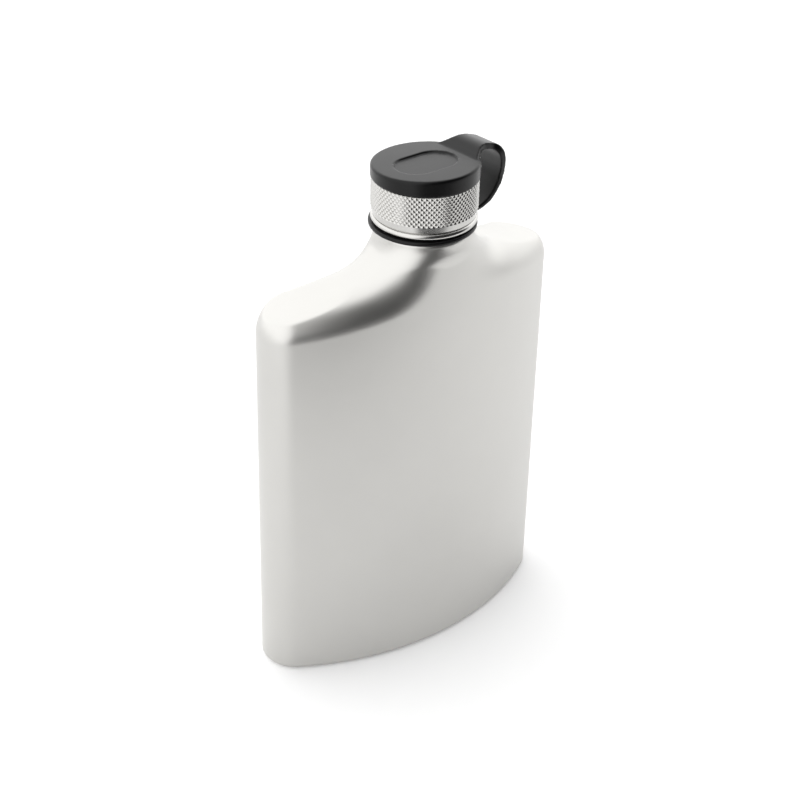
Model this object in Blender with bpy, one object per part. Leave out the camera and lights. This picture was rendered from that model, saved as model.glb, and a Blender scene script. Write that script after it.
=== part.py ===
"""Curved steel pocket flask with a knurled screw cap on a silicone keeper.

Units are metres and +Z is up. The origin is on the mouth's axis, in the plane that the flask stands on.
+X runs along the flask's width, towards the keeper's strap, and -Y is the bulging front.
"""

import math

import bmesh
import bpy
from mathutils import Matrix, Vector

mm = 0.001

# Gaps between pieces
weld_gap = 0.3 * mm
seat_gap = 0.3 * mm
thread_clearance = 0.35 * mm
ring_clearance = 0.9 * mm

# Steel body
body_width = 96.0 * mm
end_thickness = 17.8 * mm
face_bulge = 3.9 * mm
bend_radius = 95.3 * mm
end_corner_radius = 8.7 * mm
sheet_thickness = 0.7 * mm
base_edge_radius = 2.0 * mm
base_flange_height = 5.0 * mm
shoulder_flange_height = 4.0 * mm
shoulder_start_height = 107.6 * mm
shoulder_end_height = 116.6 * mm
shoulder_curve_radius = 521.0 * mm
shoulder_slope = 0.134
neck_flare_reach = 14.1 * mm
neck_flare_radius = 11.45 * mm
neck_radius = 13.2 * mm
neck_blend = 1.0 * mm
neck_foot_height = 128.5 * mm
neck_foot_radius = 3.0 * mm
neck_top_height = 131.0 * mm
neck_wrap = 1.85
shoulder_view_height = 95.0 * mm

# Threaded spout
ledge_thickness = 0.8 * mm
ledge_inset = 0.3 * mm
spout_skirt_depth = 2.4 * mm
spout_skirt_wall = 0.9 * mm
spout_height = 12.3 * mm
spout_wall = 0.9 * mm
spout_rim_radius = 0.3 * mm
collar_height = 2.4 * mm
thread_pitch = 3.0 * mm
thread_depth = 0.8 * mm
thread_base = 1.5 * mm
thread_crest = 0.7 * mm
thread_start_height = 4.2 * mm
thread_sink = 0.25 * mm
thread_turns = 2.25
thread_lead_turns = 0.25
thread_end_share = 0.15

# Metal cap
cap_radius = 14.3 * mm
cap_wall = 0.8 * mm
bead_height = 1.5 * mm
band_height = 1.75 * mm
band_recess = 0.4 * mm
knurl_height = 8.5 * mm
knurl_chamfer = 0.25 * mm
cover_seat_step = 1.3 * mm
cover_seat_height = 2.6 * mm
cover_seat_wall = 0.9 * mm
cover_groove_depth = 0.5 * mm
cover_groove_width = 1.0 * mm
cover_groove_offset = 0.5 * mm
cap_top_radius = 0.6 * mm

# Plastic thread insert and the seal in it
insert_wall = 0.7 * mm
insert_top_thickness = 1.2 * mm
insert_foot_height = 3.2 * mm
seal_thickness = 1.5 * mm

# Silicone keeper: cover, strap and ring
cover_radius = 14.5 * mm
cover_top_thickness = 1.2 * mm
cover_edge_radius = 1.8 * mm
cover_dome_rise = 0.2 * mm
badge_length = 17.0 * mm
badge_width = 7.0 * mm
badge_depth = 0.5 * mm
tab_width = 7.0 * mm
tab_root_width = 19.0 * mm
tab_root_depth = 4.0 * mm
tab_thickness = 1.0 * mm
tab_drop = 0.15 * mm
tab_slope = 0.17
tab_reach = 3.0 * mm
strap_width = 7.0 * mm
strap_thickness = 1.4 * mm
strap_lead = 8.4 * mm
strap_lead_drop = 1.6 * mm
strap_trail = 8.8 * mm
strap_trail_rise = 3.8 * mm
ring_width = 2.9 * mm
ring_thickness = 1.75 * mm
ring_shift = 0.4 * mm
ring_lug_reach = 1.6 * mm

# Heights and radii that follow from the sizes above
ledge_bottom = neck_top_height + weld_gap
ledge_top = ledge_bottom + ledge_thickness
ring_bottom = ledge_top + seat_gap
ring_top = ring_bottom + ring_thickness
cap_bottom = ring_top + seat_gap
bead_top = cap_bottom + bead_height
knurl_bottom = bead_top + band_height
knurl_top = knurl_bottom + knurl_height
cap_top = knurl_top + cover_seat_height
cover_bottom = knurl_top + seat_gap
cover_underside = cap_top + seat_gap
cover_rim_top = cover_underside + cover_top_thickness
crown_radius = cover_radius - cover_edge_radius
tab_root = crown_radius - tab_root_depth

cover_seat_radius = cap_radius - cover_seat_step
cap_upper_bore = cover_seat_radius - cover_seat_wall
cap_lower_bore = cap_radius - band_recess - cap_wall
insert_upper_radius = cap_upper_bore - seat_gap
insert_lower_radius = cap_lower_bore - seat_gap
insert_bore = insert_upper_radius - insert_wall
male_crest_radius = insert_bore - thread_clearance
male_root_radius = male_crest_radius - thread_depth
female_crest_radius = insert_bore - thread_depth
mouth_radius = male_root_radius - spout_wall

spout_top = ledge_top + spout_height
insert_top = cap_top - cap_wall - seat_gap
insert_underside = insert_top - insert_top_thickness
insert_bottom = ledge_top + insert_foot_height

# Facets
corner_steps = 6
face_steps = 14
end_steps = 2
base_edge_steps = 4
shoulder_steps = 14
round_steps = 48
thread_steps = 36
strap_steps = 20
edge_steps = 3
dome_steps = 3

# How closely a point is set on the shoulder, as shares of the way from the middle of the flask
view_near_share = 0.3
view_far_share = 2.0
bisect_steps = 30


def clear_scene():
    for item in list(bpy.data.objects):
        bpy.data.objects.remove(item)


def finish(name, colour, metallic, roughness):
    """A material with the piece's plain colour, roughness and metal share."""
    material = bpy.data.materials.new(name)
    material.use_nodes = True
    shader = material.node_tree.nodes["Principled BSDF"]
    shader.inputs["Base Color"].default_value = (*colour, 1)
    shader.inputs["Metallic"].default_value = metallic
    shader.inputs["Roughness"].default_value = roughness
    return material


def make_object(name, bm, material):
    """A mesh object with outward faces, shaded smooth except across real edges."""
    bmesh.ops.recalc_face_normals(bm, faces=bm.faces[:])
    mesh = bpy.data.meshes.new(name)
    bm.to_mesh(mesh)
    bm.free()
    mesh.shade_smooth()
    mesh.set_sharp_from_angle(angle=math.radians(35))
    item = bpy.data.objects.new(name, mesh)
    if material is not None:
        mesh.materials.append(material)
    bpy.context.scene.collection.objects.link(item)
    return item


def make_empty(name, parent=None):
    item = bpy.data.objects.new(name, None)
    item.parent = parent
    bpy.context.scene.collection.objects.link(item)
    return item


def hide_tool(item):
    item.hide_render = True
    item.display_type = "WIRE"


def boolean(item, tool, operation):
    hide_tool(tool)
    step = item.modifiers.new(operation.title(), "BOOLEAN")
    step.operation = operation
    step.object = tool


# The bent plan of the flask

def half_depth(along):
    """Half the plan's thickness, which grows from both ends to the middle."""
    return end_thickness / 2 + face_bulge * (1 - (2 * along / body_width) ** 2)


def plan_corners(inset):
    """The plan before it is bent, drawn in by inset, as (along, across) pairs, anticlockwise."""
    radius = end_corner_radius - inset
    reach = body_width / 2 - end_corner_radius
    end_reach = end_thickness / 2 - end_corner_radius
    points = []
    for side, face in ((1, 1), (-1, 1), (-1, -1), (1, -1)):
        corner = []
        for step in range(corner_steps + 1):
            angle = step / corner_steps * math.pi / 2
            along = reach + radius * math.cos(angle)
            across = half_depth(along) - end_corner_radius + radius * math.sin(angle)
            corner.append(Vector((side * along, face * across)))
        points += corner if side == face else reversed(corner)
        if side == face:
            for step in range(1, face_steps):
                along = side * reach * (1 - 2 * step / face_steps)
                points.append(Vector((along, face * (half_depth(along) - inset))))
        else:
            for step in range(1, end_steps):
                across = face * end_reach * (1 - 2 * step / end_steps)
                points.append(Vector((side * (body_width / 2 - inset), across)))
    return points


def bent(along, across, height):
    """A point of the plan, bent round the upright axis behind the flask."""
    angle = along / bend_radius
    reach = bend_radius - across
    return Vector((reach * math.sin(angle), bend_radius - reach * math.cos(angle), height))


def unbent(x, y):
    """Where a point of the bent plan lies before the bend."""
    return Vector((
        bend_radius * math.atan2(x, bend_radius - y),
        bend_radius - math.hypot(x, bend_radius - y),
    ))


def soft_min(a, b, reach):
    """The lesser of two distances, blended where they differ by less than reach."""
    overlap = max(reach - abs(a - b), 0)
    return min(a, b) - overlap ** 2 / (4 * reach) if overlap else min(a, b)


def outside(point):
    """How far a point is outside the shoulder and neck, less than zero inside them."""
    place = unbent(point.x, point.y)
    inset = body_width / 2 - abs(place.x)
    crest = shoulder_end_height + shoulder_slope * inset + inset ** 2 / (2 * shoulder_curve_radius)
    above = (point.z - crest) * math.cos(math.atan(shoulder_slope))
    reaches = (
        soft_min(above, abs(place.x) - neck_flare_radius, neck_flare_reach),
        abs(place.y) - half_depth(place.x),
        -inset,
    )
    past_edge = [max(reach + end_corner_radius, 0) for reach in reaches]
    slab = math.hypot(*past_edge) + min(max(reaches) + end_corner_radius, 0) - end_corner_radius
    past_neck = math.hypot(point.x, point.y) - neck_radius
    drop = max(neck_top_height - point.z, 0)
    blend = neck_blend * min(drop / neck_foot_radius, 1)
    flare = -soft_min(-slab, drop ** 2 / (2 * neck_foot_radius) - past_neck, blend)
    foot = max(neck_foot_height - point.z, 0)
    return soft_min(flare, past_neck + foot ** 2 / (2 * neck_foot_radius), blend)


def on_shoulder(aim):
    """Where a line from the middle of the flask through aim leaves the shoulder."""
    middle = Vector((0, 0, shoulder_view_height))
    near, far = view_near_share, view_far_share
    for _ in range(bisect_steps):
        share = (near + far) / 2
        if outside(middle.lerp(aim, share)) < 0:
            near = share
        else:
            far = share
    return middle.lerp(aim, near)


def wall_ring(inset, height):
    return [bent(*corner, height) for corner in plan_corners(inset)]


def neck_ring():
    """The top of the neck, one point for each corner of the plan."""
    turns = [math.atan2(corner.y * neck_wrap, corner.x) for corner in plan_corners(0)]
    return [Vector((neck_radius * math.cos(a), neck_radius * math.sin(a), neck_top_height)) for a in turns]


def sheet_metal(name, rings, material, closed_bottom=False):
    """A skin through the rings, from the lowest up, thickened inwards by the sheet."""
    bm = bmesh.new()
    rows = [[bm.verts.new(point) for point in ring] for ring in rings]
    count = len(rows[0])
    for lower, upper in zip(rows, rows[1:]):
        for i in range(count):
            j = (i + 1) % count
            bm.faces.new((lower[i], lower[j], upper[j], upper[i]))
    if closed_bottom:
        bm.faces.new(reversed(rows[0]))
    item = make_object(name, bm, material)
    skin = item.modifiers.new("Sheet", "SOLIDIFY")
    skin.thickness = sheet_thickness
    skin.offset = -1
    skin.use_even_offset = True
    return item


def make_base_plate(material):
    """A pressed tray: flat bottom, rolled edge and a short upright flange."""
    rings = []
    for step in range(base_edge_steps + 1):
        angle = step / base_edge_steps * math.pi / 2
        inset = base_edge_radius * (1 - math.sin(angle))
        rings.append(wall_ring(inset, base_edge_radius * (1 - math.cos(angle))))
    rings.append(wall_ring(0, base_flange_height))
    return sheet_metal("base_plate", rings, material, closed_bottom=True)


def make_body_wall(material):
    bottom = base_flange_height + weld_gap
    top = shoulder_start_height - shoulder_flange_height - weld_gap
    return sheet_metal("body_wall", [wall_ring(0, bottom), wall_ring(0, top)], material)


def make_shoulder(material):
    foot, top = wall_ring(0, shoulder_start_height), neck_ring()
    rings = [wall_ring(0, shoulder_start_height - shoulder_flange_height), foot]
    for step in range(1, shoulder_steps):
        share = (1 - math.cos(math.pi * step / shoulder_steps)) / 2
        rings.append([on_shoulder(low.lerp(high, share)) for low, high in zip(foot, top)])
    rings.append(top)
    return sheet_metal("shoulder", rings, material)


# Turned pieces

def turned(name, profile, material, steps=round_steps):
    """A solid turned round Z from a closed profile of (radius, height) points. A zero radius is on the axis."""
    bm = bmesh.new()
    rows = []
    for radius, height in profile:
        if radius == 0:
            rows.append([bm.verts.new((0, 0, height))] * steps)
            continue
        turns = [2 * math.pi * i / steps for i in range(steps)]
        rows.append([bm.verts.new((radius * math.cos(a), radius * math.sin(a), height)) for a in turns])
    for k, row in enumerate(rows):
        after = rows[(k + 1) % len(rows)]
        for i in range(steps):
            j = (i + 1) % steps
            corners = list(dict.fromkeys((row[i], row[j], after[j], after[i])))
            if len(corners) > 2:
                bm.faces.new(corners)
    return make_object(name, bm, material)


def rounded(start_angle, end_angle, radius, centre, steps=edge_steps):
    """Points of an arc in a profile, angles in quarter turns from the +radius direction."""
    points = []
    for step in range(steps + 1):
        angle = (start_angle + (end_angle - start_angle) * step / steps) * math.pi / 2
        points.append((centre[0] + radius * math.cos(angle), centre[1] + radius * math.sin(angle)))
    return points


def thread_ridge(name, wall_radius, crest_radius, start_height, first_turn, last_turn):
    """A helical ridge on a wall of the given radius, which fades into the wall at both ends."""
    direction = 1 if crest_radius > wall_radius else -1
    sunk_radius = wall_radius - direction * thread_sink
    count = round((last_turn - first_turn) * thread_steps)
    bm = bmesh.new()
    rows = []
    for i in range(count + 1):
        turn = first_turn + (last_turn - first_turn) * i / count
        fade = min((turn - first_turn) / thread_lead_turns, (last_turn - turn) / thread_lead_turns, 1)
        tip_radius = sunk_radius + (crest_radius - sunk_radius) * (fade + thread_end_share * (1 - fade))
        height = start_height + thread_pitch * turn
        corners = (
            (sunk_radius, -thread_base / 2),
            (tip_radius, -thread_crest / 2),
            (tip_radius, thread_crest / 2),
            (sunk_radius, thread_base / 2),
        )
        angle = 2 * math.pi * turn
        rows.append([
            bm.verts.new((radius * math.cos(angle), radius * math.sin(angle), height + offset))
            for radius, offset in corners
        ])
    for before, after in zip(rows, rows[1:]):
        for i in range(4):
            j = (i + 1) % 4
            bm.faces.new((before[i], before[j], after[j], after[i]))
    bm.faces.new(rows[0])
    bm.faces.new(reversed(rows[-1]))
    return make_object(name, bm, None)


def make_spout(material):
    """The turned mouth: a skirt inside the neck, the ledge on top of it, the collar and the male thread."""
    skirt_radius = neck_radius - sheet_thickness - seat_gap
    skirt_bore = skirt_radius - spout_skirt_wall
    collar_top = ledge_top + collar_height
    profile = [
        (mouth_radius, ledge_bottom),
        (skirt_bore, ledge_bottom),
        (skirt_bore, ledge_bottom - spout_skirt_depth),
        (skirt_radius, ledge_bottom - spout_skirt_depth),
        (skirt_radius, ledge_bottom),
        (neck_radius - ledge_inset, ledge_bottom),
        (neck_radius - ledge_inset, ledge_top),
        (male_crest_radius, ledge_top),
        (male_crest_radius, collar_top),
        (male_root_radius, collar_top + thread_depth / 2),
        (male_root_radius, spout_top - spout_rim_radius),
        (male_root_radius - spout_rim_radius, spout_top),
        (mouth_radius + spout_rim_radius, spout_top),
        (mouth_radius, spout_top - spout_rim_radius),
    ]
    spout = turned("threaded_spout", profile, material)
    ridge = thread_ridge(
        "male_thread", male_root_radius, male_crest_radius, ledge_top + thread_start_height, 0, thread_turns
    )
    boolean(spout, ridge, "UNION")
    return spout


def make_cap_shell(material):
    """The metal cap, from its rolled bead up over the smooth band and the grip band to the cover's seat."""
    band_radius = cap_radius - band_recess
    bead_radius = bead_height / 2
    groove_radius = cover_seat_radius - cover_groove_depth
    groove_bottom = cover_bottom + cover_groove_offset
    groove_top = groove_bottom + cover_groove_width
    profile = [(cap_lower_bore, cap_bottom)]
    profile += rounded(-1, 1, bead_radius, (cap_radius - bead_radius, cap_bottom + bead_radius), 2 * edge_steps)
    profile += [
        (band_radius, bead_top),
        (band_radius, knurl_bottom),
        (cap_radius, knurl_bottom + knurl_chamfer),
        (cap_radius, knurl_top - knurl_chamfer),
        (cap_radius - knurl_chamfer, knurl_top),
        (cover_seat_radius, knurl_top),
        (cover_seat_radius, groove_bottom),
        (groove_radius, groove_bottom),
        (groove_radius, groove_top),
        (cover_seat_radius, groove_top),
    ]
    profile += rounded(0, 1, cap_top_radius, (cover_seat_radius - cap_top_radius, cap_top - cap_top_radius))
    profile += [
        (0, cap_top),
        (0, cap_top - cap_wall),
        (cap_upper_bore, cap_top - cap_wall),
        (cap_upper_bore, knurl_top - cap_wall),
        (cap_lower_bore, knurl_top - cap_wall),
    ]
    return turned("cap_shell", profile, material)


def make_thread_insert(material):
    """The plastic liner of the cap, a stepped cup with the female thread in its bore."""
    profile = [
        (insert_bore, insert_bottom),
        (insert_lower_radius, insert_bottom),
        (insert_lower_radius, knurl_top - cap_wall - seat_gap),
        (insert_upper_radius, knurl_top - cap_wall - seat_gap),
        (insert_upper_radius, insert_top),
        (0, insert_top),
        (0, insert_underside),
        (insert_bore, insert_underside),
    ]
    insert = turned("cap_thread_insert", profile, material)
    half_pitch_up = ledge_top + thread_start_height + thread_pitch / 2
    ridge = thread_ridge(
        "female_thread",
        insert_bore,
        female_crest_radius,
        half_pitch_up,
        -thread_lead_turns,
        thread_turns - 2 * thread_lead_turns,
    )
    boolean(insert, ridge, "UNION")
    return insert


def make_seal_disc(material):
    top = insert_underside - seat_gap
    radius = insert_bore - seat_gap
    profile = [
        (0, top - seal_thickness),
        (radius, top - seal_thickness),
        (radius, top),
        (0, top),
    ]
    return turned("seal_disc", profile, material)


# Silicone keeper

def stadium(length, width, steps=corner_steps):
    """Outline of a bar with round ends, centred on the axis, along X."""
    radius = width / 2
    reach = length / 2 - radius
    points = []
    for side in (1, -1):
        for step in range(2 * steps + 1):
            angle = (step / steps - side) * math.pi / 2
            points.append((side * reach + radius * math.cos(angle), radius * math.sin(angle)))
    return points


def upright_prism(name, outline, bottom, top):
    """An outline in plan, pulled up from bottom to top."""
    bm = bmesh.new()
    face = bm.faces.new([bm.verts.new((x, y, bottom)) for x, y in outline])
    pulled = bmesh.ops.extrude_face_region(bm, geom=[face])
    corners = [v for v in pulled["geom"] if isinstance(v, bmesh.types.BMVert)]
    bmesh.ops.translate(bm, verts=corners, vec=(0, 0, top - bottom))
    return make_object(name, bm, None)


def make_cap_cover(material):
    """The cover: a skirt that snaps into the cap's groove, a slightly domed top and the strap's tab."""
    inner_radius = cover_seat_radius + seat_gap
    lip_radius = cover_seat_radius - cover_groove_depth + seat_gap
    lip_bottom = cover_bottom + cover_groove_offset + seat_gap
    lip_top = lip_bottom + cover_groove_width - 2 * seat_gap
    profile = [
        (inner_radius, cover_bottom),
        (cover_radius, cover_bottom),
    ]
    profile += rounded(
        0, 1, cover_edge_radius, (cover_radius - cover_edge_radius, cover_rim_top - cover_edge_radius)
    )
    for step in range(1, dome_steps + 1):
        share = 1 - step / dome_steps
        profile.append((crown_radius * share, cover_rim_top + cover_dome_rise * (1 - share ** 2)))
    profile += [
        (0, cover_underside),
        (inner_radius, cover_underside),
        (inner_radius, lip_top),
        (lip_radius, lip_top),
        (lip_radius, lip_bottom),
        (inner_radius, lip_bottom),
    ]
    cover = turned("cap_cover", profile, material)
    tab_outline = [
        (tab_root, -tab_root_width / 2),
        (cover_radius, -tab_width / 2),
        (cover_radius + tab_reach, -tab_width / 2),
        (cover_radius + tab_reach, tab_width / 2),
        (cover_radius, tab_width / 2),
        (tab_root, tab_root_width / 2),
    ]
    tab_top = cover_rim_top - tab_drop
    tab = upright_prism("tab_tool", tab_outline, tab_top - tab_thickness, tab_top)
    for vertex in tab.data.vertices:
        vertex.co.z += tab_rise(vertex.co.x)
    boolean(cover, tab, "UNION")
    badge_floor = cover_rim_top + cover_dome_rise - badge_depth
    badge = upright_prism(
        "badge_tool", stadium(badge_length, badge_width), badge_floor, badge_floor + 2 * badge_depth
    )
    boolean(cover, badge, "DIFFERENCE")
    return cover


def tab_rise(x):
    """How far the tab has risen, from its root in the cover out to x."""
    return tab_slope * (x - tab_root)


def strap_line():
    """The strap's middle line in the XZ plane, from the tab to the ring's lug, as (x, z) points."""
    tab_end = cover_radius + tab_reach
    start = Vector((tab_end + seat_gap, cover_rim_top - tab_drop - tab_thickness / 2 + tab_rise(tab_end)))
    end = Vector((ring_outer_edge() + ring_lug_reach + seat_gap, (ring_bottom + ring_top) / 2))
    lead = start + Vector((strap_lead, -strap_lead_drop))
    trail = end + Vector((strap_trail, strap_trail_rise))
    points = []
    for step in range(strap_steps + 1):
        t = step / strap_steps
        points.append(
            start * (1 - t) ** 3 + lead * 3 * t * (1 - t) ** 2 + trail * 3 * t ** 2 * (1 - t) + end * t ** 3
        )
    return points


def ring_outer_edge():
    return male_crest_radius + ring_clearance + ring_width - ring_shift


def make_keeper_strap(material):
    """A flat band bent into a bow, from the cover's tab down to the ring's lug."""
    line = strap_line()
    half_width = strap_width / 2
    bm = bmesh.new()
    rows = []
    for i, point in enumerate(line):
        if i in (0, len(line) - 1):
            run = Vector((1 if i == 0 else -1, 0))
        else:
            run = (line[i + 1] - line[i - 1]).normalized()
        side = Vector((-run.y, run.x)) * strap_thickness / 2
        outer, inner = point + side, point - side
        rows.append([
            bm.verts.new((outer.x, -half_width, outer.y)),
            bm.verts.new((outer.x, half_width, outer.y)),
            bm.verts.new((inner.x, half_width, inner.y)),
            bm.verts.new((inner.x, -half_width, inner.y)),
        ])
    for before, after in zip(rows, rows[1:]):
        for i in range(4):
            j = (i + 1) % 4
            bm.faces.new((before[i], before[j], after[j], after[i]))
    bm.faces.new(rows[0])
    bm.faces.new(reversed(rows[-1]))
    return make_object("keeper_strap", bm, material)


def make_keeper_ring(material):
    """The loose flat ring round the collar, pulled a little off centre by its strap, with the strap's lug."""
    inner = male_crest_radius + ring_clearance
    outer = inner + ring_width
    profile = [(inner, ring_bottom), (outer, ring_bottom), (outer, ring_top), (inner, ring_top)]
    ring = turned("keeper_ring", profile, material)
    ring.data.transform(Matrix.Translation((-ring_shift, 0, 0)))
    half_width = strap_width / 2
    lug_end = ring_outer_edge() + ring_lug_reach
    lug_start = ring_outer_edge() - ring_width / 2
    lug_outline = [
        (lug_start, -half_width),
        (lug_end, -half_width),
        (lug_end, half_width),
        (lug_start, half_width),
    ]
    lug = upright_prism("lug_tool", lug_outline, ring_bottom, ring_top)
    boolean(ring, lug, "UNION")
    return ring


def build():
    clear_scene()
    steel = finish("satin_stainless_steel", (0.72, 0.72, 0.70), 1.0, 0.42)
    cap_metal = finish("bright_stainless_steel", (0.80, 0.80, 0.79), 1.0, 0.25)
    plastic = finish("white_polypropylene", (0.85, 0.85, 0.83), 0.0, 0.45)
    seal_rubber = finish("clear_silicone", (0.75, 0.75, 0.74), 0.0, 0.5)
    silicone = finish("black_silicone", (0.02, 0.02, 0.02), 0.0, 0.55)

    make_base_plate(steel)
    make_body_wall(steel)
    make_shoulder(steel)
    make_spout(steel)

    keeper_turn = make_empty("keeper_turn_axis")
    cap_lift = make_empty("cap_lift_axis", keeper_turn)
    for piece in (make_keeper_ring(silicone), make_keeper_strap(silicone)):
        piece.parent = keeper_turn
    for piece in (
        make_cap_shell(cap_metal),
        make_thread_insert(plastic),
        make_seal_disc(seal_rubber),
        make_cap_cover(silicone),
    ):
        piece.parent = cap_lift


build()
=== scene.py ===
"""A satin steel pocket flask, curved to the hip, with a knurled screw cap on a black silicone keeper."""

import math

import bmesh
import bpy
import numpy as np
from mathutils import Matrix, Vector


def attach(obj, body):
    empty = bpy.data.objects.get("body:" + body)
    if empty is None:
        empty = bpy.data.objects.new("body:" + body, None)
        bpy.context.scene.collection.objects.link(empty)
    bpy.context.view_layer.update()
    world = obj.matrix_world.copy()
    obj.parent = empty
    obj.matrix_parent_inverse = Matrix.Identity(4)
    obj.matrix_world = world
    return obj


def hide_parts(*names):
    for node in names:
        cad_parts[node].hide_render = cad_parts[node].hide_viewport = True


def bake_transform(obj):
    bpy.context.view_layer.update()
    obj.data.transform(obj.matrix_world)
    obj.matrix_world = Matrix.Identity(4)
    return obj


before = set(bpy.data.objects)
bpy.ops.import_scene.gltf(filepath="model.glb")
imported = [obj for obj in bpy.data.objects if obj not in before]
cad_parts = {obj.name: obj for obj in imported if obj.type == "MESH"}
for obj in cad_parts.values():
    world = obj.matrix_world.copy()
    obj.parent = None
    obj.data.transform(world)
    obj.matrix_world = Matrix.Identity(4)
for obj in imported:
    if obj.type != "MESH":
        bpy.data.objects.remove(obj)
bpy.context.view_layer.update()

mm = 0.001

# Steel body. The plan is a bar with round ends and bulging faces, bent round an upright axis behind it
body_width = 96.0 * mm
end_thickness = 17.8 * mm
face_bulge = 3.9 * mm
bend_radius = 95.3 * mm
end_corner_radius = 8.7 * mm
sheet_thickness = 0.7 * mm
base_edge_radius = 2.0 * mm

# Shoulder, which falls to both ends in one sweep, and the neck that it flares up into
shoulder_start_height = 107.6 * mm
shoulder_end_height = 116.6 * mm
shoulder_curve_radius = 521.0 * mm
shoulder_slope = 0.134
neck_flare_reach = 14.1 * mm
neck_flare_radius = 11.45 * mm
neck_radius = 13.2 * mm
neck_blend = 1.6 * mm
neck_foot_height = 128.5 * mm
neck_foot_radius = 4.5 * mm
neck_top_height = 131.0 * mm
neck_lip_height = 132.4 * mm

# Spreads the flat plan's points more evenly round the neck
neck_wrap = 1.85

# The shoulder is found on lines from this height on the axis, between these shares of the way to an aim
shoulder_view_height = 95.0 * mm
view_near_share = 0.3
view_far_share = 2.0
view_halvings = 34

# Heights of the cap and what is below it
ring_bottom = 132.5 * mm
ring_top = 133.6 * mm
cap_bottom = 133.85 * mm
bead_top = 135.55 * mm
knurl_bottom = 137.7 * mm
knurl_top = 146.2 * mm
cap_top = 148.8 * mm
cover_bottom = 146.3 * mm
cover_underside = 149.1 * mm
cover_rim_top = 150.0 * mm

# Cap
cap_radius = 14.3 * mm
band_radius = 13.9 * mm
bead_neck_radius = 13.6 * mm
cap_bore = 13.1 * mm
cap_upper_bore = 12.1 * mm
cap_wall = 0.8 * mm
cap_top_chamfer = 0.4 * mm
centre_hole_radius = 0.5 * mm
cover_seat_radius = 13.0 * mm
knurl_depth = 0.2 * mm
knurl_steepness = 1.4
knurl_columns = 68
knurl_rows = 6
knurl_samples = 8

# Spout. Its thread starts a little round from the spout's own edges, so that no two edges coincide
spout_top = 144.4 * mm
spout_rim_radius = 0.3 * mm
mouth_radius = 9.05 * mm
thread_root_radius = 9.95 * mm
collar_radius = 10.75 * mm
collar_top = 134.5 * mm
ledge_radius = 12.45 * mm
ledge_bottom = 131.3 * mm
skirt_radius = 12.2 * mm
skirt_bore = 11.3 * mm
skirt_bottom = 128.9 * mm
thread_start_height = 136.3 * mm
thread_start_angle = math.radians(0.7)
thread_pitch = 3.0 * mm
thread_base = 1.5 * mm
thread_crest = 0.7 * mm
thread_sink = 0.25 * mm
thread_turns = 2.25
thread_lead_turns = 0.25
thread_end_share = 0.15

# Silicone keeper
cover_radius = 14.5 * mm
cover_inner_radius = 13.3 * mm
cover_edge_radius = 0.5 * mm
cover_dome_rise = 0.1 * mm
cover_lean = 0.075
lean_start_height = 140.0 * mm
recess_length = 17.8 * mm
recess_width = 12.2 * mm
recess_depth = 0.6 * mm
recess_shift = (-0.5 * mm, -0.7 * mm)
ring_inner_radius = 11.65 * mm
ring_outer_radius = 14.55 * mm
ring_shift = 0.4 * mm
silicone_grid = 0.2 * mm
silicone_soften_passes = 8


# Meshes

def make_piece(name, points, faces, sharp_angle=35):
    """A mesh piece from points and faces, smooth except across edges sharper than the angle."""
    mesh = bpy.data.meshes.new(name)
    mesh.from_pydata([tuple(p) for p in points], [], [tuple(int(i) for i in f) for f in faces])
    mesh.validate()
    bm = bmesh.new()
    bm.from_mesh(mesh)
    bmesh.ops.recalc_face_normals(bm, faces=bm.faces[:])
    bm.to_mesh(mesh)
    bm.free()
    mesh.shade_smooth()
    if sharp_angle:
        mesh.set_sharp_from_angle(angle=math.radians(sharp_angle))
    piece = bpy.data.objects.new(name, mesh)
    bpy.context.scene.collection.objects.link(piece)
    return piece


def loft(rings, closed_start=False, closed_end=False, around=False):
    """Points and faces of a skin through rings of equal count. around joins the last one to the first."""
    count = len(rings[0])
    points = [p for ring in rings for p in ring]
    faces = []
    pairs = len(rings) if around else len(rings) - 1
    for k in range(pairs):
        low, high = k * count, (k + 1) % len(rings) * count
        for i in range(count):
            j = (i + 1) % count
            faces.append((low + i, low + j, high + j, high + i))
    if closed_start:
        faces.append(tuple(reversed(range(count))))
    if closed_end:
        faces.append(tuple(range((len(rings) - 1) * count, len(rings) * count)))
    return points, faces


def apply_modifiers(piece):
    """Replaces the piece's mesh by what its modifiers make of it."""
    evaluated = piece.evaluated_get(bpy.context.evaluated_depsgraph_get())
    mesh = bpy.data.meshes.new_from_object(evaluated)
    piece.modifiers.clear()
    piece.data = mesh


# The flask's body

def half_depth(along):
    """Half the plan's depth, which grows from the ends to the middle."""
    return end_thickness / 2 + face_bulge * (1 - (2 * along / body_width) ** 2)


def plan_corners(inset, corner_steps=20, face_steps=64, end_steps=2):
    """The plan before it is bent, drawn in by inset, as (along, across) pairs, anticlockwise."""
    radius = end_corner_radius - inset
    reach = body_width / 2 - end_corner_radius
    end_reach = end_thickness / 2 - end_corner_radius
    points = []
    for side, face in ((1, 1), (-1, 1), (-1, -1), (1, -1)):
        corner = []
        for step in range(corner_steps + 1):
            angle = step / corner_steps * math.pi / 2
            along = reach + radius * math.cos(angle)
            across = half_depth(along) - end_corner_radius + radius * math.sin(angle)
            corner.append((side * along, face * across))
        points += corner if side == face else reversed(corner)
        if side == face:
            for step in range(1, face_steps):
                along = side * reach * (1 - 2 * step / face_steps)
                points.append((along, face * (half_depth(along) - inset)))
        else:
            for step in range(1, end_steps):
                across = face * end_reach * (1 - 2 * step / end_steps)
                points.append((side * (body_width / 2 - inset), across))
    return np.array(points)


def wall_ring(inset, height):
    """The plan's outline, bent round the upright axis behind the flask, at a height."""
    along, across = plan_corners(inset).T
    reach = bend_radius - across
    turn = along / bend_radius
    heights = np.full(len(turn), height)
    return np.column_stack((reach * np.sin(turn), bend_radius - reach * np.cos(turn), heights))


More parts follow.
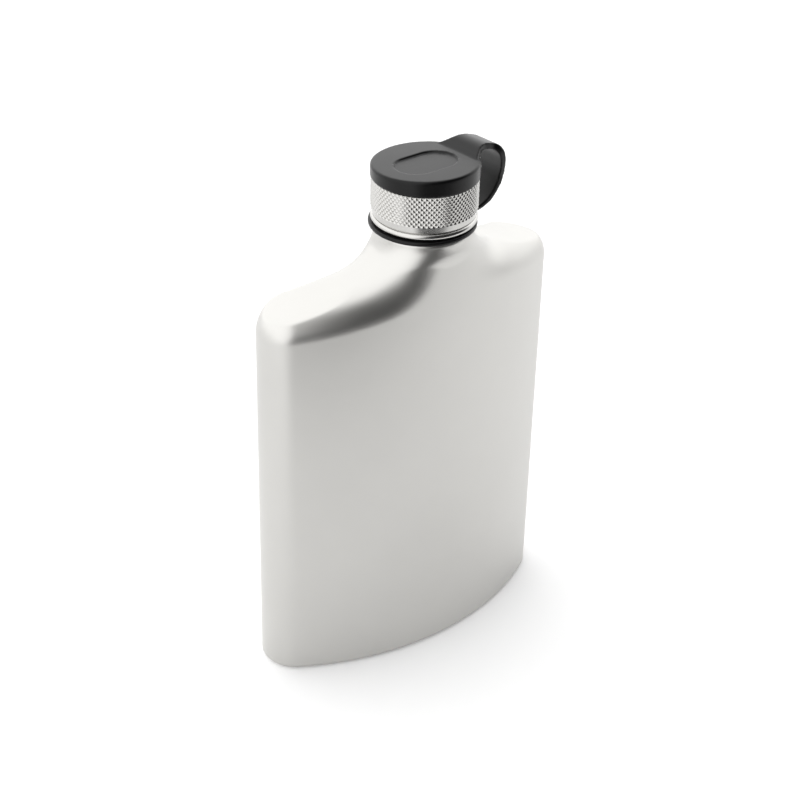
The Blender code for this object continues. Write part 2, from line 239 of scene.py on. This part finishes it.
def neck_ring(height):
    """The neck's circle, with one point for each point of the plan's outline."""
    along, across = plan_corners(0).T
    turn = np.arctan2(across * neck_wrap, along)
    heights = np.full(len(turn), height)
    return np.column_stack((neck_radius * np.cos(turn), neck_radius * np.sin(turn), heights))


def soft_min(a, b, reach):
    """The lesser of two distances, blended where they differ by less than reach."""
    overlap = np.maximum(reach - np.abs(a - b), 0)
    return np.minimum(a, b) - overlap ** 2 / (4 * np.maximum(reach, 1e-9))


def outside(points):
    """How far points are outside the shoulder and neck, less than zero inside them."""
    x, y, z = points.T
    along = bend_radius * np.arctan2(x, bend_radius - y)
    across = bend_radius - np.hypot(x, bend_radius - y)
    inset = body_width / 2 - np.abs(along)
    crest = shoulder_end_height + shoulder_slope * inset + inset ** 2 / (2 * shoulder_curve_radius)
    above = (z - crest) * math.cos(math.atan(shoulder_slope))
    reaches = np.array((
        soft_min(above, np.abs(along) - neck_flare_radius, neck_flare_reach),
        np.abs(across) - half_depth(along),
        -inset,
    )) + end_corner_radius
    past_corners = np.linalg.norm(np.maximum(reaches, 0), axis=0)
    within = np.minimum(reaches.max(axis=0), 0)
    slab = past_corners + within - end_corner_radius
    past_neck = np.hypot(x, y) - neck_radius
    drop = np.maximum(neck_top_height - z, 0)
    blend = neck_blend * np.minimum(drop / neck_foot_radius, 1)
    flare = -soft_min(-slab, drop ** 2 / (2 * neck_foot_radius) - past_neck, blend)
    foot = np.maximum(neck_foot_height - z, 0)
    return soft_min(flare, past_neck + foot ** 2 / (2 * neck_foot_radius), blend)


def on_shoulder(aims):
    """Where the lines from the middle of the flask through the aims leave the shoulder."""
    middle = np.array((0, 0, shoulder_view_height))
    near = np.full(len(aims), view_near_share)
    far = np.full(len(aims), view_far_share)
    for _ in range(view_halvings):
        share = (near + far) / 2
        inside = outside(middle + (aims - middle) * share[:, None]) < 0
        near, far = np.where(inside, share, near), np.where(inside, far, share)
    return middle + (aims - middle) * near[:, None]


def make_flask_body(shoulder_steps=96, base_steps=10, wall_steps=12):
    """The wall, shoulder and base as one skin, since their welds are ground flush and blasted over."""
    rings = []
    for step in range(base_steps + 1):
        angle = step / base_steps * math.pi / 2
        inset = base_edge_radius * (1 - math.sin(angle))
        rings.append(wall_ring(inset, base_edge_radius * (1 - math.cos(angle))))
    wall_height = shoulder_start_height - base_edge_radius
    for step in range(1, wall_steps):
        share = step / wall_steps
        rings.append(wall_ring(0, base_edge_radius + wall_height * share))
    foot, top = wall_ring(0, shoulder_start_height), neck_ring(neck_top_height)
    rings.append(foot)
    for step in range(1, shoulder_steps):
        share = (1 - math.cos(math.pi * step / shoulder_steps)) / 2
        rings.append(on_shoulder(foot + (top - foot) * share))
    rings.append(top)
    rings.append(neck_ring(neck_lip_height))
    body = make_piece("flask_body", *loft(rings, closed_start=True), sharp_angle=60)
    skin = body.modifiers.new("Sheet", "SOLIDIFY")
    skin.thickness = sheet_thickness
    skin.offset = -1
    skin.use_even_offset = True
    apply_modifiers(body)
    return body


# The cap

def circle(radius, height, steps):
    """Points round the axis at a radius and a height."""
    turns = [2 * math.pi * i / steps for i in range(steps)]
    return [Vector((radius * math.cos(a), radius * math.sin(a), height)) for a in turns]


def arc(centre, radius, start, end, steps):
    """Profile points (radius, height) on an arc, angles in quarter turns from outwards."""
    angles = [(start + (end - start) * k / steps) * math.pi / 2 for k in range(steps + 1)]
    return [(centre[0] + radius * math.cos(a), centre[1] + radius * math.sin(a)) for a in angles]


def knurl_height(column, row):
    """Height of the diamond knurl, 0 in its grooves and 1 on its tips, at a grid point."""
    groove_a = (column + row) / knurl_samples % 1
    groove_b = (column - row) / knurl_samples % 1
    depth = 2 * min(groove_a, 1 - groove_a, groove_b, 1 - groove_b)
    return min(depth * knurl_steepness, 1)


def make_cap_metal():
    """The turned cap: rolled bead, smooth band, rolled diamond knurl and the seat under the cover."""
    steps = knurl_columns * knurl_samples
    bead_radius = (bead_top - cap_bottom) / 2
    profile_below = [(cap_bore, cap_bottom + bead_radius), (cap_bore, cap_bottom + 0.2 * bead_radius)]
    profile_below += arc((cap_radius - bead_radius, cap_bottom + bead_radius), bead_radius, -1, 0.75, 12)
    # The groove over the bead, and the step from it to the band
    profile_below += [
        (bead_neck_radius, bead_top - 0.15 * bead_radius),
        (bead_neck_radius, bead_top + 0.1 * bead_radius),
        (band_radius - 0.1 * bead_radius, bead_top + 0.3 * bead_radius),
        (band_radius, bead_top + 0.5 * bead_radius),
        (band_radius, knurl_bottom),
    ]
    rings = [circle(radius, height, steps) for radius, height in profile_below]
    first_knurl_ring = len(rings)
    knurl_count = knurl_rows * knurl_samples
    for row in range(knurl_count + 1):
        height = knurl_bottom + (knurl_top - knurl_bottom) * row / knurl_count
        ring = []
        for column in range(steps):
            radius = cap_radius - knurl_depth * (1 - knurl_height(column, row))
            turn = 2 * math.pi * column / steps
            ring.append(Vector((radius * math.cos(turn), radius * math.sin(turn), height)))
        rings.append(ring)
    last_knurl_ring = len(rings) - 1
    profile_above = [
        (cover_seat_radius, knurl_top),
        (cover_seat_radius, cap_top - cap_top_chamfer),
        (cover_seat_radius - cap_top_chamfer, cap_top),
        (centre_hole_radius, cap_top),
        (centre_hole_radius, cap_top - cap_wall),
        (cap_upper_bore, cap_top - cap_wall),
        (cap_upper_bore, knurl_top - cap_wall),
        (cap_bore, knurl_top - cap_wall),
    ]
    rings += [circle(radius, height, steps) for radius, height in profile_above]
    points, faces = loft(rings, around=True)

    # Faces that the bottom of a groove crosses are split along it
    split = []
    for face in faces:
        row, column = divmod(face[0], steps)
        if first_knurl_ring <= row < last_knurl_ring:
            step = row - first_knurl_ring
            low_left, low_right, high_right, high_left = face
            if (column + step + 1) % knurl_samples == 0:
                split += [(low_left, low_right, high_left), (low_right, high_right, high_left)]
                continue
            if (column - step) % knurl_samples == 0:
                split += [(low_left, low_right, high_right), (low_left, high_right, high_left)]
                continue
        split.append(face)
    return make_piece("cap_metal", points, split, sharp_angle=22)


# The spout

def make_thread_ridge(turn_steps=100):
    """The male thread's ridge, a helix that sinks into the wall at both ends."""
    sunk_radius = thread_root_radius - thread_sink
    count = round(thread_turns * turn_steps)
    rings = []
    for i in range(count + 1):
        turn = thread_turns * i / count
        fade = min(turn / thread_lead_turns, (thread_turns - turn) / thread_lead_turns, 1)
        fade = fade * fade * (3 - 2 * fade)
        depth_share = fade + thread_end_share * (1 - fade)
        tip_radius = sunk_radius + (collar_radius - sunk_radius) * depth_share
        height = thread_start_height + thread_pitch * turn
        angle = 2 * math.pi * turn + thread_start_angle
        rings.append([
            Vector((radius * math.cos(angle), radius * math.sin(angle), height + offset))
            for radius, offset in (
                (sunk_radius, -thread_base / 2),
                (tip_radius, -thread_crest / 2),
                (tip_radius, thread_crest / 2),
                (sunk_radius, thread_base / 2),
            )
        ])
    return make_piece("thread_ridge", *loft(rings, closed_start=True, closed_end=True), sharp_angle=30)


def make_spout(steps=180):
    """The turned mouth: a skirt inside the neck, the ledge on top, the collar and the male thread."""
    profile = [
        (mouth_radius, ledge_bottom),
        (skirt_bore, ledge_bottom),
        (skirt_bore, skirt_bottom),
        (skirt_radius, skirt_bottom),
        (skirt_radius, ledge_bottom),
        (ledge_radius, ledge_bottom),
        (ledge_radius, neck_lip_height),
        (collar_radius, neck_lip_height),
        (collar_radius, collar_top),
        (thread_root_radius, collar_top + (collar_radius - thread_root_radius) / 2),
    ]
    outer_middle = thread_root_radius - spout_rim_radius
    inner_middle = mouth_radius + spout_rim_radius
    profile += arc((outer_middle, spout_top - spout_rim_radius), spout_rim_radius, 0, 1, 6)
    profile += arc((inner_middle, spout_top - spout_rim_radius), spout_rim_radius, 1, 2, 6)
    rings = [circle(radius, height, steps) for radius, height in profile]
    spout = make_piece("spout", *loft(rings, around=True), sharp_angle=30)
    ridge = make_thread_ridge()
    weld = spout.modifiers.new("Thread", "BOOLEAN")
    weld.operation = "UNION"
    weld.object = ridge
    apply_modifiers(spout)
    spout.data.set_sharp_from_angle(angle=math.radians(30))
    bpy.data.objects.remove(ridge)
    return spout


# The silicone keeper

def closed_ribbon(line, half_widths, thicknesses):
    """A band along a line of (x, z) points, square in section, with a width and thickness at each."""
    rings = []
    for i, point in enumerate(line):
        run = (line[min(i + 1, len(line) - 1)] - line[max(i - 1, 0)]).normalized()
        side = Vector((-run.y, run.x)) * thicknesses[i] / 2
        outer, inner, half = point + side, point - side, half_widths[i]
        rings.append([
            Vector((outer.x, -half, outer.y)),
            Vector((outer.x, half, outer.y)),
            Vector((inner.x, half, inner.y)),
            Vector((inner.x, -half, inner.y)),
        ])
    return loft(rings, closed_start=True, closed_end=True)


def smooth_line(knots, steps):
    """Points of a smooth curve through knots of any number of values."""
    knots = np.array(knots, float)
    padded = np.vstack([2 * knots[0] - knots[1], knots, 2 * knots[-1] - knots[-2]])
    points = []
    for i in range(len(knots) - 1):
        a, b, c, d = padded[i:i + 4]
        for t in np.arange(steps) / steps:
            slope, bend, twist = c - a, 2 * a - 5 * b + 4 * c - d, 3 * b - a - 3 * c + d
            points.append(0.5 * (2 * b + slope * t + bend * t ** 2 + twist * t ** 3))
    points.append(knots[-1])
    return np.array(points)


# The strap from inside the cover to inside the ring, in millimetres: distance out from the axis, height,
# half width and thickness
strap_knots = (
    (8.0, 148.9, 8.2, 1.2),
    (10.2, 149.3, 8.4, 1.3),
    (12.3, 150.3, 6.8, 1.5),
    (14.2, 151.2, 5.4, 1.7),
    (15.9, 151.35, 4.8, 1.8),
    (17.6, 151.0, 4.6, 1.8),
    (19.2, 150.5, 4.5, 1.7),
    (20.4, 149.9, 4.9, 1.7),
    (21.4, 148.8, 5.2, 1.7),
    (22.2, 147.2, 5.2, 1.7),
    (22.75, 145.0, 4.9, 1.6),
    (23.05, 142.9, 4.4, 1.5),
    (23.0, 140.7, 3.9, 1.5),
    (22.3, 138.6, 3.8, 1.5),
    (21.0, 136.5, 3.7, 1.4),
    (19.0, 134.5, 3.6, 1.4),
    (16.2, 133.2, 3.5, 1.2),
    (13.0, 133.0, 3.5, 1.0),
)


def stadium(length, width, steps=24):
    """Outline of a bar with round ends along X."""
    radius = width / 2
    reach = length / 2 - radius
    points = []
    for side in (1, -1):
        for step in range(2 * steps + 1):
            angle = (step / steps - side) * math.pi / 2
            points.append((side * reach + radius * math.cos(angle), radius * math.sin(angle)))
    return points


def lean(blank, start_height):
    """Tips the top towards the back, where the strap's pull holds the soft cover down."""
    for vertex in blank.data.vertices:
        share = (vertex.co.z - start_height) / (cover_rim_top - start_height)
        vertex.co.z -= vertex.co.y * cover_lean * min(max(share, 0), 1)


def make_cover(steps, dome_steps=12, axis_radius=0.0001 * mm):
    """The cover's skirt and low dome, with a shallow recess with round ends in its top."""
    crown_radius = cover_radius - cover_edge_radius
    profile = [(cover_inner_radius, cover_bottom), (cover_radius, cover_bottom)]
    profile += arc((crown_radius, cover_rim_top - cover_edge_radius), cover_edge_radius, 0, 1, 8)
    for step in range(1, dome_steps):
        share = 1 - step / dome_steps
        profile.append((crown_radius * share, cover_rim_top + cover_dome_rise * (1 - share ** 2)))
    crown_top = cover_rim_top + cover_dome_rise
    profile += [
        (axis_radius, crown_top),
        (axis_radius, cover_underside),
        (cover_inner_radius, cover_underside),
    ]
    cover = make_piece("cover_blank", *loft([circle(r, h, steps) for r, h in profile], around=True))
    recess_floor = crown_top - recess_depth
    outline = [(x + recess_shift[0], y + recess_shift[1]) for x, y in stadium(recess_length, recess_width)]
    recess = make_piece("recess_cut", *loft(
        [[Vector((x, y, z)) for x, y in outline] for z in (recess_floor, recess_floor + 3 * recess_depth)],
        closed_start=True,
        closed_end=True,
    ))
    cut = cover.modifiers.new("Recess", "BOOLEAN")
    cut.operation = "DIFFERENCE"
    cut.object = recess
    apply_modifiers(cover)
    bpy.data.objects.remove(recess)
    lean(cover, cover_bottom)
    return cover


def make_strap(knot_steps=6):
    """The strap along its knots, from the cover out over the edge and down to the ring."""
    line = smooth_line(strap_knots, knot_steps) * mm
    route = [Vector((x, z)) for x, z in line[:, :2]]
    strap = make_piece("strap_blank", *closed_ribbon(route, line[:, 2], line[:, 3]))
    lean(strap, lean_start_height)
    return strap


def make_ring(steps):
    """The flat ring round the spout, a little off the axis on the side away from the strap."""
    profile = [
        (ring_inner_radius, ring_bottom),
        (ring_outer_radius, ring_bottom),
        (ring_outer_radius, ring_top),
        (ring_inner_radius, ring_top),
    ]
    points, faces = loft([circle(r, h, steps) for r, h in profile], around=True)
    return make_piece("ring_blank", [p - Vector((ring_shift, 0, 0)) for p in points], faces)


def make_keeper(steps=160):
    """Cover, strap and ring as the one moulding that they are, with silicone's soft edges."""
    blanks = (make_cover(steps), make_strap(), make_ring(steps))
    joined = bmesh.new()
    for blank in blanks:
        joined.from_mesh(blank.data)
    mesh = bpy.data.meshes.new("keeper_moulding")
    joined.to_mesh(mesh)
    joined.free()
    for blank in blanks:
        bpy.data.objects.remove(blank)
    keeper = bpy.data.objects.new("keeper_moulding", mesh)
    bpy.context.scene.collection.objects.link(keeper)

    # The grid works in millimetres
    mesh.transform(Matrix.Scale(1 / mm, 4))
    grid = keeper.modifiers.new("Moulding", "REMESH")
    grid.mode = "VOXEL"
    grid.voxel_size = silicone_grid / mm
    soften = keeper.modifiers.new("Soft edges", "SMOOTH")
    soften.factor = 0.5
    soften.iterations = silicone_soften_passes
    apply_modifiers(keeper)
    keeper.data.transform(Matrix.Scale(mm, 4))
    keeper.data.shade_smooth()
    return keeper


# Materials

def colour(code):
    """Linear colour from an sRGB hex code."""
    channels = [int(code[i:i + 2], 16) / 255 for i in (1, 3, 5)]
    return tuple(c / 12.92 if c <= 0.04045 else ((c + 0.055) / 1.055) ** 2.4 for c in channels) + (1,)


def add_node(tree, kind, sockets=None, **settings):
    """Adds a node. sockets gives each input by name or number a value or another node's output."""
    node = tree.nodes.new(kind)
    for name, value in settings.items():
        setattr(node, name, value)
    for key, value in (sockets or {}).items():
        if isinstance(value, bpy.types.NodeSocket):
            tree.links.new(value, node.inputs[key])
        else:
            node.inputs[key].default_value = value
    return node


def new_material(name, sockets):
    """A material with one Principled shader, and its tree and shader for more nodes."""
    material = bpy.data.materials.new(name)
    material.use_nodes = True
    tree = material.node_tree
    shader = tree.nodes["Principled BSDF"]
    for key, value in sockets.items():
        shader.inputs[key].default_value = value
    return material, tree, shader


def blasted_stainless():
    """304 stainless steel, glass-bead blasted: an even satin grey, fine grained, with wide highlights."""
    material, tree, shader = new_material("blasted_304_stainless", {"Metallic": 1.0, "Roughness": 0.36})
    place = add_node(tree, "ShaderNodeTexCoord").outputs["Object"]
    # The beads leave 0.1 mm dimples, drawn at 0.3 mm so that they show
    grain = add_node(
        tree, "ShaderNodeTexNoise", {"Vector": place, "Scale": 1 / (0.3 * mm), "Detail": 2.0}
    )
    clouds = add_node(
        tree, "ShaderNodeTexNoise", {"Vector": place, "Scale": 1 / (30 * mm), "Detail": 3.0}
    )
    tone = add_node(
        tree, "ShaderNodeMix", {0: clouds.outputs["Fac"], 6: colour("#bfbebb"), 7: colour("#c9c8c5")},
        data_type="RGBA",
    )
    tree.links.new(tone.outputs[2], shader.inputs["Base Color"])
    dull = add_node(
        tree, "ShaderNodeMapRange",
        {"Value": clouds.outputs["Fac"], "To Min": 0.33, "To Max": 0.40},
    )
    tree.links.new(dull.outputs[0], shader.inputs["Roughness"])
    bump = add_node(
        tree, "ShaderNodeBump", {"Height": grain.outputs["Fac"], "Strength": 0.12, "Distance": 0.02 * mm}
    )
    tree.links.new(bump.outputs[0], shader.inputs["Normal"])
    return material


def turned_stainless():
    """304 stainless steel, turned and lightly polished: bright, with fine rings from the tool."""
    material, tree, shader = new_material("turned_304_stainless", {"Metallic": 1.0, "Roughness": 0.2})
    place = add_node(tree, "ShaderNodeTexCoord").outputs["Object"]
    # Tool marks 0.08 mm apart and about 50 mm long round the axis, drawn 0.2 mm apart so that they show
    mark_scale = (1 / (50 * mm), 1 / (50 * mm), 1 / (0.2 * mm))
    stretched = add_node(tree, "ShaderNodeVectorMath", {0: place, 1: mark_scale}, operation="MULTIPLY")
    rings = add_node(
        tree, "ShaderNodeTexNoise", {"Vector": stretched.outputs[0], "Scale": 1.0, "Detail": 2.0}
    )
    tone = add_node(
        tree, "ShaderNodeMix", {0: rings.outputs["Fac"], 6: colour("#b6b5b3"), 7: colour("#c2c1be")},
        data_type="RGBA",
    )
    tree.links.new(tone.outputs[2], shader.inputs["Base Color"])
    dull = add_node(
        tree, "ShaderNodeMapRange",
        {"Value": rings.outputs["Fac"], "To Min": 0.14, "To Max": 0.26},
    )
    tree.links.new(dull.outputs[0], shader.inputs["Roughness"])
    bump = add_node(
        tree, "ShaderNodeBump", {"Height": rings.outputs["Fac"], "Strength": 0.1, "Distance": 0.01 * mm}
    )
    tree.links.new(bump.outputs[0], shader.inputs["Normal"])
    return material


def moulded_silicone():
    """Black silicone rubber from a spark-eroded mould: matte, with a dusty sheen where seen aslant."""
    material, tree, shader = new_material("moulded_black_silicone", {
        "Roughness": 0.30,
        "IOR": 1.41,
        "Specular IOR Level": 0.3,
        "Sheen Weight": 0.03,
        "Sheen Roughness": 0.4,
    })
    place = add_node(tree, "ShaderNodeTexCoord").outputs["Object"]
    # The mould's 0.05 mm sparks, drawn at 0.25 mm so that they show
    grain = add_node(
        tree, "ShaderNodeTexNoise", {"Vector": place, "Scale": 1 / (0.25 * mm), "Detail": 3.0}
    )
    dust = add_node(tree, "ShaderNodeTexNoise", {"Vector": place, "Scale": 1 / (4 * mm), "Detail": 5.0})
    tone = add_node(
        tree, "ShaderNodeMix", {0: dust.outputs["Fac"], 6: colour("#060606"), 7: colour("#0d0d0e")},
        data_type="RGBA",
    )
    tree.links.new(tone.outputs[2], shader.inputs["Base Color"])
    dull = add_node(
        tree, "ShaderNodeMapRange",
        {"Value": dust.outputs["Fac"], "To Min": 0.27, "To Max": 0.34},
    )
    tree.links.new(dull.outputs[0], shader.inputs["Roughness"])
    bump = add_node(
        tree, "ShaderNodeBump", {"Height": grain.outputs["Fac"], "Strength": 0.15, "Distance": 0.02 * mm}
    )
    tree.links.new(bump.outputs[0], shader.inputs["Normal"])
    return material


def moulded_polypropylene():
    """White polypropylene, injection moulded: waxy, slightly see-through at the surface."""
    material, tree, shader = new_material(
        "moulded_white_polypropylene",
        {"Roughness": 0.42, "IOR": 1.49, "Subsurface Weight": 0.15, "Subsurface Scale": 1.0 * mm},
    )
    place = add_node(tree, "ShaderNodeTexCoord").outputs["Object"]
    flow = add_node(tree, "ShaderNodeTexNoise", {"Vector": place, "Scale": 1 / (3 * mm), "Detail": 3.0})
    tone = add_node(
        tree, "ShaderNodeMix", {0: flow.outputs["Fac"], 6: colour("#e6e5df"), 7: colour("#f0efea")},
        data_type="RGBA",
    )
    tree.links.new(tone.outputs[2], shader.inputs["Base Color"])
    return material


def cast_seal_silicone():
    """Milky food-grade silicone, cut from cast sheet: soft and dull."""
    material, tree, shader = new_material("cast_seal_silicone", {"Roughness": 0.55, "IOR": 1.41})
    place = add_node(tree, "ShaderNodeTexCoord").outputs["Object"]
    cloud = add_node(tree, "ShaderNodeTexNoise", {"Vector": place, "Scale": 1 / (2 * mm), "Detail": 3.0})
    tone = add_node(
        tree, "ShaderNodeMix", {0: cloud.outputs["Fac"], 6: colour("#d4d4d0"), 7: colour("#e2e2de")},
        data_type="RGBA",
    )
    tree.links.new(tone.outputs[2], shader.inputs["Base Color"])
    return material


def give(piece, material):
    """Gives the piece this one material."""
    piece.data.materials.clear()
    piece.data.materials.append(material)


# Studio

# The unlit side of the room and the unlit floor beyond the table, in degrees: azimuth and elevation of
# the middle, then how far from it the dark core and its soft rim reach
dark_room = (16, 23, 37, 61)
dark_floor = (-8, -26, 32, 51)
dark_strength = 0.05
light_strength = 1.78
backdrop_strength = 1.0
table_front = 0.235
table_reach = 6
table_azimuth = -25

# Camera: its direction from the flask, what it aims at (right and up in the picture from a height on the
# axis), how far off it is, and its focal length in pixels of the photograph
camera_azimuth = math.radians(-38.113)
camera_elevation = math.radians(32.405)
camera_roll = math.radians(1.486)
aim_right = -5.063 * mm
aim_up = 4.654 * mm
aim_height = 70.737 * mm
camera_distance = 541.985 * mm
focal_pixels = 1921.789
photo_pixels = 800
sensor_width = 36


def towards(azimuth, elevation):
    """Direction from the flask at an azimuth from the front and an elevation."""
    level = math.cos(elevation)
    return Vector((math.sin(azimuth) * level, -math.cos(azimuth) * level, math.sin(elevation)))


def studio_light():
    """Soft white light from all round, but for the unlit room and floor on the camera's side."""
    world = bpy.data.worlds.new("studio")
    world.use_nodes = True
    tree = world.node_tree
    direction = add_node(tree, "ShaderNodeTexCoord").outputs["Generated"]
    shares = []
    for azimuth, elevation, core, rim in (dark_room, dark_floor):
        middle = towards(math.radians(azimuth), math.radians(elevation))
        nearness = add_node(
            tree, "ShaderNodeVectorMath", {0: direction, 1: middle}, operation="DOT_PRODUCT"
        )
        share = add_node(
            tree, "ShaderNodeMapRange",
            {
                "Value": nearness.outputs["Value"],
                "From Min": math.cos(math.radians(rim)),
                "From Max": math.cos(math.radians(core)),
                "To Min": 1.0,
                "To Max": 0.0,
            },
            interpolation_type="SMOOTHSTEP",
        )
        shares.append(share.outputs[0])
    lit = add_node(tree, "ShaderNodeMath", {0: shares[0], 1: shares[1]}, operation="MULTIPLY")
    light = add_node(
        tree, "ShaderNodeMapRange",
        {"Value": lit.outputs[0], "To Min": dark_strength, "To Max": light_strength},
    )
    # The backdrop is white from every side, though the room that the steel mirrors is dark in parts
    seen = add_node(tree, "ShaderNodeLightPath").outputs["Is Camera Ray"]
    strength = add_node(tree, "ShaderNodeMix", {0: seen, 2: light.outputs[0], 3: backdrop_strength})
    tree.links.new(strength.outputs[0], tree.nodes["Background"].inputs["Strength"])
    tree.nodes["Background"].inputs["Color"].default_value = (1, 1, 1, 1)
    return world


def make_table():
    """A white table that runs out of sight behind the flask and ends before it reaches the camera."""
    turn = Matrix.Rotation(math.radians(table_azimuth), 3, "Z")
    corners = (
        (-table_reach, -table_front),
        (table_reach, -table_front),
        (table_reach, table_reach),
        (-table_reach, table_reach),
    )
    table = make_piece("studio_table", [turn @ Vector((x, y, 0)) for x, y in corners], [(0, 1, 2, 3)])
    give(table, new_material("studio_white", {
        "Roughness": 0.9,
        "Base Color": colour("#e8e8e8"),
        "Emission Color": (1, 1, 1, 1),
        "Emission Strength": 0.2,
    })[0])
    return table


def make_camera():
    """The camera where the photograph was taken from."""
    back = towards(camera_azimuth, camera_elevation)
    right = Vector((math.cos(camera_azimuth), math.sin(camera_azimuth), 0))
    up = back.cross(right)
    aim = right * aim_right + up * aim_up + Vector((0, 0, aim_height))
    across = right * math.cos(camera_roll) + up * math.sin(camera_roll)
    upright = up * math.cos(camera_roll) - right * math.sin(camera_roll)
    lens = bpy.data.cameras.new("photo_camera")
    lens.sensor_width = sensor_width
    lens.lens = sensor_width * focal_pixels / photo_pixels
    lens.clip_start = 0.01
    camera = bpy.data.objects.new("photo_camera", lens)
    bpy.context.scene.collection.objects.link(camera)
    place = Matrix((across, upright, back)).transposed().to_4x4()
    place.translation = aim + back * camera_distance
    camera.matrix_world = place
    return camera


# The pieces in place

satin_steel = blasted_stainless()
cap_steel = turned_stainless()

flask_body = make_flask_body()
give(flask_body, satin_steel)
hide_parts("body_wall", "shoulder", "base_plate")
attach(flask_body, "flask")

cap_metal = make_cap_metal()
give(cap_metal, cap_steel)
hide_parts("cap_shell")
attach(cap_metal, "cap")

keeper = make_keeper()
give(keeper, moulded_silicone())
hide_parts("cap_cover", "keeper_strap", "keeper_ring")
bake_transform(keeper)

spout = make_spout()
give(spout, cap_steel)
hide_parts("threaded_spout")
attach(spout, "flask")

give(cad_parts["cap_thread_insert"], moulded_polypropylene())
give(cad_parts["seal_disc"], cast_seal_silicone())

make_table()
bpy.context.scene.world = studio_light()
bpy.context.scene.camera = make_camera()
bpy.context.scene.view_settings.view_transform = "Standard"
